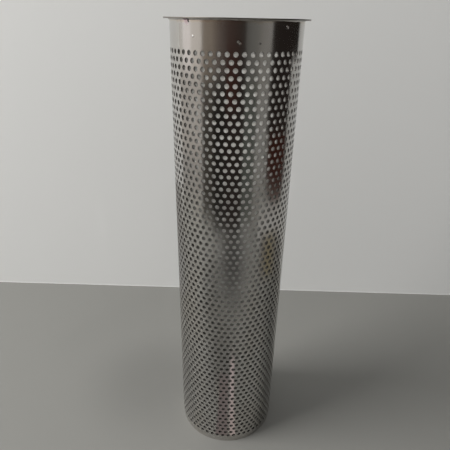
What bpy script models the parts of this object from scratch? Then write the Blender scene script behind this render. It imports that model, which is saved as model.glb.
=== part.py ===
"""Filter basket of stainless steel sheet, standing on its base.

Five pieces, welded together:
    perforated_wall  punched sheet, rolled to a tube and butt welded along the back
    rim_ring         thin flat ring on the tube's top end, with the fillet weld under it
    base_disc        punched disc set inside the tube's lower end
    mesh_sleeve      fine woven mesh that lines the tube, drawn as plain thin skin
    mesh_floor       the same mesh on the base disc

Metres, +Z up. The origin is the centre of the base, the front is -Y and the seam is at +Y.
"""
import math

import bmesh
import bpy
from mathutils import Vector
from mathutils.geometry import delaunay_2d_cdt

MM = 0.001

# The tube
OVERALL_HEIGHT = 562.0 * MM
WALL_OUTER_RADIUS = 69.5 * MM
WALL_THICKNESS = 1.5 * MM

# Left free between pieces that are welded to each other
WELD_GAP = 0.3 * MM

# The punching: rows of round holes, staggered so that each hole is one pitch from all six neighbours
HOLE_DIAMETER = 5.0 * MM
HOLE_PITCH = 8.0 * MM
STAGGER = math.sin(math.radians(60))
# Holes are drawn this much larger and further apart, which keeps the open area and the stagger
DRAWN_SCALE = 3.6
HOLE_SIDES = 6

# Plain steel between the outermost holes and the sheet's ends, and beside the seam
PLAIN_TOP = 26.0 * MM
PLAIN_BASE = 9.5 * MM
PLAIN_SEAM = 5.0 * MM

# Butt weld along the back, ground flush inside
SEAM_BEAD_WIDTH = 4.4 * MM
SEAM_BEAD_HEIGHT = 0.5 * MM

# Rim ring and the fillet weld that holds it
RIM_OVERHANG = 6.0 * MM
RIM_THICKNESS = 1.2 * MM
RIM_EDGE_ROUND = 0.35 * MM
RIM_WELD_LEG = 1.8 * MM
RIM_WELD_TOE = 0.3 * MM

# Base disc
BASE_THICKNESS = 1.5 * MM
BASE_PLAIN_EDGE = 6.0 * MM

# Fine woven mesh inside the tube and on the base disc
MESH_THICKNESS = 0.5 * MM
MESH_BELOW_TOP = 3.0 * MM

# Fineness of the round shapes
ROUND_SEGMENTS = 64
FILLET_STEPS = 3
BAND_MARGIN = 4.0 * MM
SHARP_ANGLE = math.radians(35)
MERGE_DISTANCE = 0.01 * MM

# Worked out from the sizes above. The drawn wall is flat between two holes, at most over WIDEST_FLAT,
# and its flats reach inside the true round by FLAT_REACH, which the mesh stays clear of.
WALL_INNER_RADIUS = WALL_OUTER_RADIUS - WALL_THICKNESS
WALL_HEIGHT = OVERALL_HEIGHT - RIM_THICKNESS - WELD_GAP
SHEET_WIDTH = 2 * math.pi * (WALL_OUTER_RADIUS - WALL_THICKNESS / 2)
DRAWN_DIAMETER = DRAWN_SCALE * HOLE_DIAMETER
DRAWN_PITCH = DRAWN_SCALE * HOLE_PITCH
SEAM_BEAD_TOP = WALL_HEIGHT - RIM_WELD_LEG - SEAM_BEAD_WIDTH / 2
RIM_OUTER_RADIUS = WALL_OUTER_RADIUS + RIM_OVERHANG
BASE_RADIUS = WALL_INNER_RADIUS - WELD_GAP
WIDEST_FLAT = DRAWN_PITCH * 2 / 3
FLAT_REACH = WIDEST_FLAT**2 / (8 * WALL_INNER_RADIUS)
MESH_OUTER_RADIUS = WALL_INNER_RADIUS - FLAT_REACH - WELD_GAP
MESH_FLOOR_BOTTOM = BASE_THICKNESS + WELD_GAP
MESH_FLOOR_TOP = MESH_FLOOR_BOTTOM + MESH_THICKNESS


def clear_scene():
    """Removes every object that the file opened with."""
    for old in list(bpy.data.objects):
        bpy.data.objects.remove(old, do_unlink=True)


def steel(name, colour, roughness):
    """Returns a plain stainless steel material."""
    material = bpy.data.materials.new(name)
    material.use_nodes = True
    shader = material.node_tree.nodes["Principled BSDF"]
    shader.inputs["Base Color"].default_value = (*colour, 1.0)
    shader.inputs["Metallic"].default_value = 1.0
    shader.inputs["Roughness"].default_value = roughness
    material.diffuse_color = (*colour, 1.0)
    return material


def add_piece(name, builder, material):
    """Puts a finished bmesh into the scene as a named piece, shaded smooth between its sharp edges."""
    bmesh.ops.recalc_face_normals(builder, faces=builder.faces)
    mesh = bpy.data.meshes.new(name)
    builder.to_mesh(mesh)
    builder.free()
    mesh.shade_smooth()
    mesh.set_sharp_from_angle(angle=SHARP_ANGLE)
    mesh.materials.append(material)
    piece = bpy.data.objects.new(name, mesh)
    bpy.context.scene.collection.objects.link(piece)
    return piece


def evenly(length, pitch):
    """Returns how many holes fit along a length at no less than the pitch, and their even spacing."""
    steps = max(1, math.floor(length / pitch))
    return steps + 1, length / steps


def hole_outline(centre):
    """Returns the corners of a drawn hole, which has the area of a round one of its diameter."""
    corner_angle = 2 * math.pi / HOLE_SIDES
    corner_radius = DRAWN_DIAMETER / 2 * math.sqrt(corner_angle / math.sin(corner_angle))
    corners = []
    for corner in range(HOLE_SIDES):
        angle = corner_angle * (corner + 0.5)
        corners.append(centre + corner_radius * Vector((math.cos(angle), math.sin(angle))))
    return corners


def wall_holes():
    """Returns the hole centres on the flat sheet: x runs round the tube from the seam, y up it."""
    seam_strip = DRAWN_DIAMETER + 2 * PLAIN_SEAM
    in_row, pitch = evenly(SHEET_WIDTH - seam_strip, DRAWN_PITCH)
    punched_height = WALL_HEIGHT - PLAIN_TOP - PLAIN_BASE
    rows, row_pitch = evenly(punched_height - DRAWN_DIAMETER, DRAWN_PITCH * STAGGER)
    centres = []
    for row in range(rows):
        staggered = row % 2
        start = (seam_strip + staggered * pitch) / 2
        height = PLAIN_BASE + DRAWN_DIAMETER / 2 + row * row_pitch
        centres.extend(Vector((start + place * pitch, height)) for place in range(in_row - staggered))
    return centres


def disc_holes():
    """Returns the hole centres of the base disc: the same pattern, centred on the disc."""
    reach = BASE_RADIUS - BASE_PLAIN_EDGE - DRAWN_DIAMETER / 2
    row_pitch = DRAWN_PITCH * STAGGER
    span = math.ceil(reach / row_pitch)
    centres = []
    for row in range(-span, span + 1):
        for place in range(-span, span + 1):
            centre = Vector(((place + (row % 2) / 2) * DRAWN_PITCH, row * row_pitch))
            if centre.length <= reach:
                centres.append(centre)
    return centres


def punch(points, edges, centres):
    """Triangulates flat sheet round its holes.

    points and edges are the sheet's outline, and any lines in it that the triangles must follow.
    Returns the sheet's points and its triangles.
    """
    points = list(points)
    edges = list(edges)
    first_hole_point = len(points)
    for centre in centres:
        first = len(points)
        points.extend(hole_outline(centre))
        edges.extend((first + side, first + (side + 1) % HOLE_SIDES) for side in range(HOLE_SIDES))
    flat_points, _, triangles, sources, _, _ = delaunay_2d_cdt(points, edges, [], 1, MERGE_DISTANCE / 100)
    owners = []
    for source in sources:
        hole_point = max(source) - first_hole_point
        owners.append(hole_point // HOLE_SIDES if hole_point >= 0 else None)
    sheet = [corners for corners in triangles if not fills_hole({owners[i] for i in corners})]
    return flat_points, sheet


def fills_hole(owners):
    """Says whether a triangle has all its corners on one hole."""
    return len(owners) == 1 and None not in owners


def thicken(flat_points, triangles, front, back):
    """Makes a closed sheet: two skins, joined by a wall at every free edge.

    front and back turn a flat point into its place on each skin.
    """
    builder = bmesh.new()
    front_skin = [builder.verts.new(front(point)) for point in flat_points]
    back_skin = [builder.verts.new(back(point)) for point in flat_points]
    free_edges = set()
    for a, b, c in triangles:
        builder.faces.new((front_skin[a], front_skin[b], front_skin[c]))
        builder.faces.new((back_skin[c], back_skin[b], back_skin[a]))
        for start, end in ((a, b), (b, c), (c, a)):
            if (end, start) in free_edges:
                free_edges.remove((end, start))
            else:
                free_edges.add((start, end))
    for start, end in sorted(free_edges):
        builder.faces.new((front_skin[end], front_skin[start], back_skin[start], back_skin[end]))
    return builder


def seam_distance(along):
    """Returns how far a place across the flat sheet is from the seam, which is at both its ends."""
    return min(along, SHEET_WIDTH - along)


def bead_rise(point):
    """Returns how far the seam weld stands proud of the outer skin at a flat point."""
    share = seam_distance(point.x) / (SEAM_BEAD_WIDTH / 2)
    if share >= 1 or point.y > SEAM_BEAD_TOP:
        return 0.0
    return SEAM_BEAD_HEIGHT * math.cos(share * math.pi / 2)


def roll(point, radius):
    """Returns a flat point's place on the tube, at a radius."""
    angle = math.pi / 2 + 2 * math.pi * point.x / SHEET_WIDTH
    return Vector((radius * math.cos(angle), radius * math.sin(angle), point.y))


def outer_skin(point):
    """Returns a flat point's place on the tube's outside, with the seam weld's crown."""
    return roll(point, WALL_OUTER_RADIUS + bead_rise(point))


def inner_skin(point):
    """Returns a flat point's place on the tube's inside."""
    return roll(point, WALL_INNER_RADIUS)


def sheet_columns():
    """Returns the places across the flat sheet where its ends and its seam weld have points."""
    weld = [SEAM_BEAD_WIDTH / 2 * share for share in (0.0, 0.5, 1.0)]
    step = SHEET_WIDTH / ROUND_SEGMENTS
    plain = [step * i for i in range(1, ROUND_SEGMENTS)]
    plain = [place for place in plain if seam_distance(place) > weld[-1] + MERGE_DISTANCE]
    return weld + plain + [SHEET_WIDTH - place for place in reversed(weld)]


def sheet_lines(holes):
    """Returns the flat sheet's own points and lines: its ends, a ring beside each, and the weld."""
    rings = [0.0, PLAIN_BASE - BAND_MARGIN, WALL_HEIGHT - PLAIN_TOP + BAND_MARGIN, WALL_HEIGHT]
    rows = sorted({hole.y for hole in holes})
    weld_levels = [*rows[1:-1:2], SEAM_BEAD_TOP, SEAM_BEAD_TOP + SEAM_BEAD_HEIGHT]
    levels = sorted([*rings, *weld_levels])
    columns = sheet_columns()
    weld_columns = [column for column in columns if seam_distance(column) <= SEAM_BEAD_WIDTH / 2]
    points = []
    index = {}
    for level in levels:
        for column in columns if level in rings else weld_columns:
            index[(column, level)] = len(points)
            points.append(Vector((column, level)))
    edges = []
    for level in rings:
        edges.extend((index[(a, level)], index[(b, level)]) for a, b in zip(columns, columns[1:]))
    for column in weld_columns:
        edges.extend((index[(column, a)], index[(column, b)]) for a, b in zip(levels, levels[1:]))
    return points, edges


def on_seam(vertex):
    """Says whether a vertex of the rolled sheet is on the seam's centre line."""
    return vertex.co.y > 0 and abs(vertex.co.x) < MERGE_DISTANCE


def weld_seam(builder):
    """Joins the rolled sheet's two long edges into one."""
    butted = [face for face in builder.faces if all(on_seam(vertex) for vertex in face.verts)]
    bmesh.ops.delete(builder, geom=butted, context="FACES_ONLY")
    edge = [vertex for vertex in builder.verts if on_seam(vertex)]
    bmesh.ops.remove_doubles(builder, verts=edge, dist=MERGE_DISTANCE)


def make_wall():
    """Builds the punched and rolled wall, with its plain bands and its seam weld."""
    holes = wall_holes()
    points, edges = sheet_lines(holes)
    flat_points, triangles = punch(points, edges, holes)
    builder = thicken(flat_points, triangles, outer_skin, inner_skin)
    weld_seam(builder)
    return add_piece("perforated_wall", builder, steel("wall steel", (0.56, 0.55, 0.53), 0.24))


def rim_profile():
    """Returns the rim ring's section as (radius, height) points, with its fillet weld."""
    underside = OVERALL_HEIGHT - RIM_THICKNESS
    weld_radius = WALL_OUTER_RADIUS + WELD_GAP
    profile = [
        (WALL_INNER_RADIUS, underside),
        (WALL_INNER_RADIUS, OVERALL_HEIGHT),
        (RIM_OUTER_RADIUS - RIM_EDGE_ROUND, OVERALL_HEIGHT),
        (RIM_OUTER_RADIUS, OVERALL_HEIGHT - RIM_EDGE_ROUND),
        (RIM_OUTER_RADIUS, underside + RIM_EDGE_ROUND),
        (RIM_OUTER_RADIUS - RIM_EDGE_ROUND, underside),
    ]
    for step in range(FILLET_STEPS + 1):
        angle = math.pi / 2 * step / FILLET_STEPS
        outward = RIM_WELD_TOE + RIM_WELD_LEG * (1 - math.sin(angle))
        downward = RIM_WELD_LEG * (1 - math.cos(angle))
        profile.append((weld_radius + outward, underside - downward))
    profile.append((weld_radius, underside - RIM_WELD_LEG))
    profile.append((weld_radius, underside))
    return profile


def turn(profile):
    """Turns a section of (radius, height) points about the tube's axis."""
    builder = bmesh.new()
    section = [builder.verts.new((0, radius, height)) for radius, height in profile]
    outline = [builder.edges.new(pair) for pair in zip(section, section[1:] + section[:1])]
    bmesh.ops.spin(
        builder,
        geom=section + outline,
        cent=(0, 0, 0),
        axis=(0, 0, 1),
        angle=2 * math.pi,
        steps=ROUND_SEGMENTS,
        use_merge=True,
        use_duplicate=False,
    )
    bmesh.ops.remove_doubles(builder, verts=builder.verts, dist=MERGE_DISTANCE)
    return builder


def make_rim():
    """Builds the rim ring with its fillet weld."""
    return add_piece("rim_ring", turn(rim_profile()), steel("rim steel", (0.60, 0.59, 0.57), 0.22))


def make_base():
    """Builds the punched base disc, level with the wall's lower end."""
    points = []
    for step in range(ROUND_SEGMENTS):
        angle = 2 * math.pi * step / ROUND_SEGMENTS
        points.append(BASE_RADIUS * Vector((math.sin(angle), math.cos(angle))))
    edges = [(step, (step + 1) % ROUND_SEGMENTS) for step in range(ROUND_SEGMENTS)]
    flat_points, triangles = punch(points, edges, disc_holes())
    builder = thicken(
        flat_points,
        triangles,
        lambda point: Vector((point.x, point.y, BASE_THICKNESS)),
        lambda point: Vector((point.x, point.y, 0.0)),
    )
    return add_piece("base_disc", builder, steel("base steel", (0.54, 0.53, 0.51), 0.32))


def make_mesh_sleeve(material):
    """Builds the mesh that lines the tube, from the mesh floor to a little under the tube's top."""
    inner_radius = MESH_OUTER_RADIUS - MESH_THICKNESS
    bottom = MESH_FLOOR_TOP + WELD_GAP
    top = WALL_HEIGHT - MESH_BELOW_TOP
    profile = [
        (inner_radius, bottom),
        (inner_radius, top),
        (MESH_OUTER_RADIUS, top),
        (MESH_OUTER_RADIUS, bottom),
    ]
    return add_piece("mesh_sleeve", turn(profile), material)


def make_mesh_floor(material):
    """Builds the round of mesh on the base disc."""
    builder = bmesh.new()
    bmesh.ops.create_cone(
        builder,
        cap_ends=True,
        segments=ROUND_SEGMENTS,
        radius1=MESH_OUTER_RADIUS,
        radius2=MESH_OUTER_RADIUS,
        depth=MESH_THICKNESS,
    )
    middle = (MESH_FLOOR_BOTTOM + MESH_FLOOR_TOP) / 2
    bmesh.ops.translate(builder, verts=builder.verts, vec=(0, 0, middle))
    return add_piece("mesh_floor", builder, material)


clear_scene()
make_wall()
make_rim()
make_base()
mesh_steel = steel("mesh steel", (0.50, 0.49, 0.47), 0.45)
make_mesh_sleeve(mesh_steel)
make_mesh_floor(mesh_steel)
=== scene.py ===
"""Dresses the filter basket: the full punched pattern, the welds, and the bright rolled steel.

The part stands on the origin, in metres, +Z up. Its front is -Y and its welded seam is at +Y.
Angles round the tube are measured from the front, towards the right (+X).
"""
import logging
import math
from collections.abc import Callable
from dataclasses import dataclass, field
from enum import Enum

import bpy
import numpy as np
from mathutils import Matrix, Vector
from mathutils.geometry import delaunay_2d_cdt


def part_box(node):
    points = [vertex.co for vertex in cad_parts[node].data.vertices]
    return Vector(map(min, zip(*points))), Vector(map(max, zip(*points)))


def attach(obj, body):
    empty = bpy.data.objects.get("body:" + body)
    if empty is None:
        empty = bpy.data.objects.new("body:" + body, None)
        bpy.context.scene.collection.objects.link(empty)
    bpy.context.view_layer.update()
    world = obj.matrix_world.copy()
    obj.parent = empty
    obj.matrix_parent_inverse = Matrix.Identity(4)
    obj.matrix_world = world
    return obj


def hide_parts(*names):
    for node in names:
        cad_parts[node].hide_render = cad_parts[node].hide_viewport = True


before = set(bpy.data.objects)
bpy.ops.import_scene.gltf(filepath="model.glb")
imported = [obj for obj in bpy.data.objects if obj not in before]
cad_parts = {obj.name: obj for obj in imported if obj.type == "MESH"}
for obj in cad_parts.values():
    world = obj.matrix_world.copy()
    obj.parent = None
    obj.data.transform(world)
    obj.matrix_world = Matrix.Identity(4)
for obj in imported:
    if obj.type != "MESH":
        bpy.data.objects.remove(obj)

log = logging.getLogger("filter_basket")

MM = 0.001
BODY = "root"
FULL_TURN = 2 * math.pi

Points = np.ndarray
Colour = tuple[float, float, float]
Place = tuple[float, float, float]


class Slot(Enum):
    """The record's material slots."""

    WALL = "wall_steel"
    RIM = "rim_steel"
    BASE = "base_steel"
    MESH = "mesh_steel"


def round_tube(angle: Points, radius: Points, height: Points) -> Points:
    """Places points by their angle from the front, their radius and their height.

    Args:
        angle: Angles in radians, from the front towards the right.
        radius: Distances from the tube's axis.
        height: Heights above the floor.

    Returns:
        One row of x, y and z for each point.
    """
    return np.stack([radius * np.sin(angle), -radius * np.cos(angle), height + 0 * angle], axis=-1)


def unit(vectors: Points) -> Points:
    """Scales each row to length one."""
    return vectors / np.maximum(np.linalg.norm(vectors, axis=-1, keepdims=True), 1e-12)


class MeshMaker:
    """Turns arrays of corners, faces and corner normals into a piece of the basket."""

    @staticmethod
    def build(name: str, corners: Points, faces: Points, normals: Points | None = None) -> bpy.types.Object:
        """Makes a smooth-shaded object.

        Args:
            name: The piece's name.
            corners: One row of x, y and z for each corner.
            faces: One row of corner numbers for each face, all with as many sides.
            normals: One row for each corner of each face, or None for the mesh's own.

        Returns:
            The new object, linked to the scene.
        """
        sides = faces.shape[1]
        mesh = bpy.data.meshes.new(name)
        mesh.vertices.add(len(corners))
        mesh.vertices.foreach_set("co", corners.astype(np.float32).ravel())
        mesh.loops.add(faces.size)
        mesh.loops.foreach_set("vertex_index", faces.astype(np.int32).ravel())
        mesh.polygons.add(len(faces))
        mesh.polygons.foreach_set("loop_start", np.arange(0, faces.size, sides, dtype=np.int32))
        mesh.update(calc_edges=True)
        mesh.shade_smooth()
        if normals is not None:
            mesh.normals_split_custom_set(normals.reshape(-1, 3).tolist())
        piece = bpy.data.objects.new(name, mesh)
        bpy.context.scene.collection.objects.link(piece)
        return piece

    @staticmethod
    def quads(rows: int, columns: int, close_rows: bool, close_columns: bool) -> Points:
        """Lists the faces of a grid of points that are numbered row by row.

        Args:
            rows: Rows of points.
            columns: Points in a row.
            close_rows: Whether the last row meets the first.
            close_columns: Whether the last point of a row meets its first.

        Returns:
            One row of four point numbers for each face.
        """
        i = np.arange(rows if close_rows else rows - 1)[:, None]
        j = np.arange(columns if close_columns else columns - 1)[None, :]
        next_i = (i + 1) % rows
        next_j = (j + 1) % columns
        turn = (i * columns + j, next_i * columns + j, next_i * columns + next_j, i * columns + next_j)
        return np.stack(np.broadcast_arrays(*turn), axis=-1).reshape(-1, 4)

    @staticmethod
    def ring(name: str, points: Points) -> bpy.types.Object:
        """Skins a closed section that is carried all the way round.

        Args:
            name: The piece's name.
            points: Points by place round, place on the section, and x, y and z.

        Returns:
            The new object.
        """
        return MeshMaker.build(name, points.reshape(-1, 3), MeshMaker.quads(*points.shape[:2], True, True))


@dataclass
class FlatSheet:
    """Sheet laid flat, with round holes, cut into triangles that follow every edge.

    Attributes:
        hole_radius: Radius of the holes.
        hole_sides: Sides that each hole is drawn with.
    """

    hole_radius: float
    hole_sides: int
    points: Points = field(init=False)
    triangles: Points = field(init=False)
    owners: Points = field(init=False)
    centres: Points = field(init=False)

    def cut(self, outline: Points, edges: list[tuple[int, int]], centres: Points) -> None:
        """Cuts the sheet.

        Args:
            outline: The sheet's own points, at its edges and wherever else it needs one.
            edges: Pairs of those points that the triangles must follow.
            centres: The holes' centres.
        """
        self.centres = centres
        turn = FULL_TURN * (np.arange(self.hole_sides) + 0.5) / self.hole_sides
        ring = self.hole_radius * np.stack([np.cos(turn), np.sin(turn)], axis=-1)
        hole_points = (centres[:, None, :] + ring[None, :, :]).reshape(-1, 2)
        every = [Vector(point) for point in np.concatenate([outline, hole_points]).tolist()]
        first = len(outline)
        lines = list(edges)
        for hole in range(len(centres)):
            start = first + hole * self.hole_sides
            lines += [(start + k, start + (k + 1) % self.hole_sides) for k in range(self.hole_sides)]
        flat, _, triangles, sources, _, _ = delaunay_2d_cdt(every, lines, [], 1, 1e-8)
        self.points = np.array([tuple(point) for point in flat])
        hole_of = np.array([max(source) for source in sources]) - first
        self.owners = np.where(hole_of >= 0, hole_of // self.hole_sides, -1)
        triangles = np.array(triangles)
        owned = self.owners[triangles]
        in_hole = (owned[:, 0] >= 0) & (owned == owned[:, :1]).all(axis=1)
        self.triangles = triangles[~in_hole]

    def join(self, keep: Points, drop: Points) -> None:
        """Makes the triangles at some points use others, which are at the same place once rolled.

        Args:
            keep: Numbers of the points that stay.
            drop: Numbers of the points that they take over from.
        """
        stand_in = np.arange(len(self.points))
        stand_in[drop] = keep
        self.triangles = stand_in[self.triangles]

    def free_edges(self) -> Points:
        """Finds the edges that only one triangle has.

        Returns:
            One row of two point numbers for each, in its triangle's direction.
        """
        sides = ([0, 1], [1, 2], [2, 0])
        pairs = np.concatenate([self.triangles[:, side] for side in sides])
        forward = pairs[:, 0] * len(self.points) + pairs[:, 1]
        backward = pairs[:, 1] * len(self.points) + pairs[:, 0]
        return pairs[~np.isin(forward, backward)]

    def thicken(
        self, name: str, place: Callable[[Points, float], Points], edge_glint: float
    ) -> bpy.types.Object:
        """Gives the sheet its two skins, and the cut walls of its holes and ends.

        Args:
            name: The piece's name.
            place: Puts flat points into the part, at a depth of 0 for the front skin or 1 for the back.
            edge_glint: How far the cut walls' shading leans to the front skin at their front edge,
                as on edges that the punch has drawn in.

        Returns:
            The closed piece. Its skins use the first material, and its cut walls the second.
        """
        count = len(self.points)
        step = 0.02 * MM
        sides, skins, across, along = [], [], [], []
        for depth in (0.0, 1.0):
            middle = place(self.points, depth)
            d_across = place(self.points + (step, 0), depth) - place(self.points - (step, 0), depth)
            d_along = place(self.points + (0, step), depth) - place(self.points - (0, step), depth)
            skins.append(middle)
            across.append(unit(d_across))
            along.append(unit(d_along))
            sides.append(unit(np.cross(d_across, d_along)) * (1 if depth == 0 else -1))
        corners = np.concatenate(skins)
        front = self.triangles
        back = self.triangles[:, ::-1] + count
        skin_normals = np.concatenate([sides[0][front], sides[1][back - count]])

        edges = self.free_edges()
        start, end = edges[:, 0], edges[:, 1]
        quads = np.stack([end, start, start + count, end + count], axis=-1)
        wall = [self._edge_normals(edges, p, across[0], along[0]) for p in (end, start, start, end)]
        drawn_in = [unit(wall[k] + edge_glint * sides[0][p]) for k, p in ((0, end), (1, start))]
        quad_normals = np.stack([drawn_in[0], drawn_in[1], wall[2], wall[3]], axis=1)
        cut_faces = np.concatenate([quads[:, [0, 1, 2]], quads[:, [0, 2, 3]]])
        cut_normals = np.concatenate([quad_normals[:, [0, 1, 2]], quad_normals[:, [0, 2, 3]]])
        faces = np.concatenate([front, back, cut_faces])
        piece = MeshMaker.build(name, corners, faces, np.concatenate([skin_normals, cut_normals]))
        is_cut = np.arange(len(faces)) >= len(front) + len(back)
        piece.data.polygons.foreach_set("material_index", is_cut.astype(np.int32))
        return piece

    def _edge_normals(self, edges: Points, points: Points, across: Points, along: Points) -> Points:
        """Works out the cut wall's normal at one end of each free edge.

        Args:
            edges: The free edges.
            points: The end of each edge that is asked for.
            across: Each point's direction across the sheet, in the part.
            along: Each point's direction along the sheet, in the part.

        Returns:
            One row of x, y and z for each edge: towards the hole's centre, or straight out of an end.
        """
        owner = self.owners[points]
        to_centre = self.centres[np.maximum(owner, 0)] - self.points[points]
        run = self.points[edges[:, 1]] - self.points[edges[:, 0]]
        outward = np.stack([run[:, 1], -run[:, 0]], axis=-1)
        flat = unit(np.where((owner >= 0)[:, None], to_centre, outward))
        return unit(flat[:, :1] * across[points] + flat[:, 1:] * along[points])


@dataclass(frozen=True)
class RollWave:
    """A slow wave that the rolls leave round the sheet.

    Attributes:
        waves: Waves in one turn of the tube.
        size: Height of the wave.
        lean: Change of phase with height, in radians a metre.
        phase: Where the wave starts, in radians.
    """

    waves: int
    size: float
    lean: float
    phase: float

    def at(self, angle: Points, height: Points) -> Points:
        """Gives the wave's height at each point."""
        return self.size * np.cos(self.waves * angle + self.lean * height + self.phase)


@dataclass(frozen=True)
class Dent:
    """A small knock in the plain band.

    Attributes:
        angle: Angle from the front, in degrees.
        height: Height above the floor.
        radius: Half its width.
        depth: How far it is pushed in; a negative depth stands out.
    """

    angle: float
    height: float
    radius: float
    depth: float

    def at(self, angle: Points, height: Points, tube_radius: float) -> Points:
        """Gives how far the sheet is pushed in at each point.

        Args:
            angle: Angles in radians.
            height: Heights above the floor.
            tube_radius: Outside radius of the tube.

        Returns:
            One depth for each point, most at the middle of the knock.
        """
        aside = (angle - math.radians(self.angle)) * tube_radius
        away = np.hypot(aside, height - self.height) / self.radius
        return self.depth * np.exp(-2.5 * away**2)


@dataclass
class PunchedTube:
    """The rolled and punched wall, with all its holes.

    Attributes:
        outer_radius: Outside radius.
        height: Height of the tube, from the floor.
        thickness: Thickness of the sheet.
        hole_diameter: Diameter of the holes.
        holes_round: Hole pitches in one turn.
        rows: Rows of holes.
        plain_top: Plain steel above the highest holes.
        plain_base: Plain steel below the lowest holes.
        plain_seam: Plain steel each side of the seam, at the least.
        hole_sides: Sides that each hole is drawn with.
        rim_points: Points round each end.
        waves: The rolls' waves.
        dents: The knocks in the plain band.
    """

    outer_radius: float
    height: float
    thickness: float = 1.5 * MM
    hole_diameter: float = 5.0 * MM
    holes_round: int = 54
    rows: int = 76
    plain_top: float = 26.0 * MM
    plain_base: float = 9.5 * MM
    plain_seam: float = 5.0 * MM
    hole_sides: int = 10
    rim_points: int = 216
    waves: tuple[RollWave, ...] = (
        RollWave(waves=3, size=0.10 * MM, lean=1.5, phase=0.4),
        RollWave(waves=11, size=0.022 * MM, lean=-3.0, phase=1.1),
        RollWave(waves=19, size=0.010 * MM, lean=5.0, phase=2.3),
        RollWave(waves=31, size=0.004 * MM, lean=-8.0, phase=0.2),
    )
    dents: tuple[Dent, ...] = (
        Dent(angle=1.6, height=542.6 * MM, radius=1.4 * MM, depth=0.60 * MM),
        Dent(angle=3.0, height=541.5 * MM, radius=1.4 * MM, depth=0.60 * MM),
        Dent(angle=43.0, height=554.5 * MM, radius=2.6 * MM, depth=1.0 * MM),
        Dent(angle=-35.5, height=546.4 * MM, radius=1.3 * MM, depth=-0.30 * MM),
    )

    @property
    def middle_radius(self) -> float:
        """Radius at the middle of the sheet's thickness."""
        return self.outer_radius - self.thickness / 2

    @property
    def inner_radius(self) -> float:
        """Inside radius."""
        return self.outer_radius - self.thickness

    @property
    def sheet_width(self) -> float:
        """Width of the sheet before it was rolled."""
        return FULL_TURN * self.middle_radius

    def hole_centres(self) -> Points:
        """Lays out the staggered holes, counted from the top row down.

        Returns:
            One row for each hole: its place across the sheet from the seam, and its height.
        """
        pitch = self.sheet_width / self.holes_round
        top = self.height - self.plain_top - self.hole_diameter / 2
        bottom = self.plain_base + self.hole_diameter / 2
        clear = self.plain_seam + self.hole_diameter / 2
        centres = []
        for row, level in enumerate(np.linspace(top, bottom, self.rows)):
            across = (np.arange(self.holes_round) + (row % 2) / 2) * pitch
            across = across[(across >= clear) & (across <= self.sheet_width - clear)]
            centres += [(place, level) for place in across]
        return np.array(centres)

    def angle_of(self, across: Points) -> Points:
        """Turns a place across the sheet into an angle from the front."""
        return FULL_TURN * across / self.sheet_width - math.pi

    def place(self, flat: Points, depth: float) -> Points:
        """Rolls flat points into the tube.

        Args:
            flat: Place across the sheet and height, for each point.
            depth: 0 for the outer skin, 1 for the inner.

        Returns:
            One row of x, y and z for each point.
        """
        angle = self.angle_of(flat[:, 0])
        height = flat[:, 1]
        push = sum(wave.at(angle, height) for wave in self.waves)
        push = push - sum(dent.at(angle, height, self.outer_radius) for dent in self.dents)
        return round_tube(angle, self.outer_radius - depth * self.thickness + push, height)

    def outline(self) -> tuple[Points, list[tuple[int, int]], Points, Points]:
        """Lays out the sheet's ends, its seam edges and the points that the dents need.

        Returns:
            The points, the edges to follow, and the numbers of the points at each seam edge.
        """
        columns = np.linspace(0, self.sheet_width, self.rim_points + 1)
        band = np.linspace(self.height - self.plain_top * 0.85, self.height, 5)
        levels = [0.0, self.plain_base / 2, *band[:-1], self.height]
        seam_levels = np.union1d(levels, np.linspace(self.plain_base, band[0], 60))
        points, edges, left, right = [], [], {}, {}
        for level in levels:
            start = len(points)
            points += [(column, level) for column in columns]
            left[level] = start
            right[level] = start + self.rim_points
            if level in (0.0, self.height):
                edges += [(start + k, start + k + 1) for k in range(self.rim_points)]
        for level in seam_levels:
            if level not in left:
                left[level] = len(points)
                right[level] = len(points) + 1
                points += [(0.0, level), (self.sheet_width, level)]
        for side in (left, right):
            numbers = [side[level] for level in sorted(side)]
            edges += list(zip(numbers, numbers[1:]))
        for dent in self.dents:
            centre = (math.radians(dent.angle) + math.pi) / FULL_TURN * self.sheet_width
            points.append((centre, dent.height))
            for ring in (0.3, 0.6, 0.9, 1.2, 1.6):
                for turn in np.arange(0, FULL_TURN, FULL_TURN / 12):
                    reach = ring * dent.radius
                    points.append((centre + reach * math.cos(turn), dent.height + reach * math.sin(turn)))
        order = sorted(left)
        left_edge = np.array([left[level] for level in order])
        right_edge = np.array([right[level] for level in order])
        return np.array(points), edges, left_edge, right_edge

    def build(self) -> bpy.types.Object:
        """Makes the wall.

        Returns:
            The closed, punched and rolled tube.
        """
        points, edges, left, right = self.outline()
        sheet = FlatSheet(self.hole_diameter / 2, self.hole_sides)
        sheet.cut(points, edges, self.hole_centres())
        sheet.join(keep=left, drop=right)
        piece = sheet.thicken("punched_wall", self.place, edge_glint=0.15)
        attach(piece, BODY)
        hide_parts("perforated_wall")
        return piece


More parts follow.
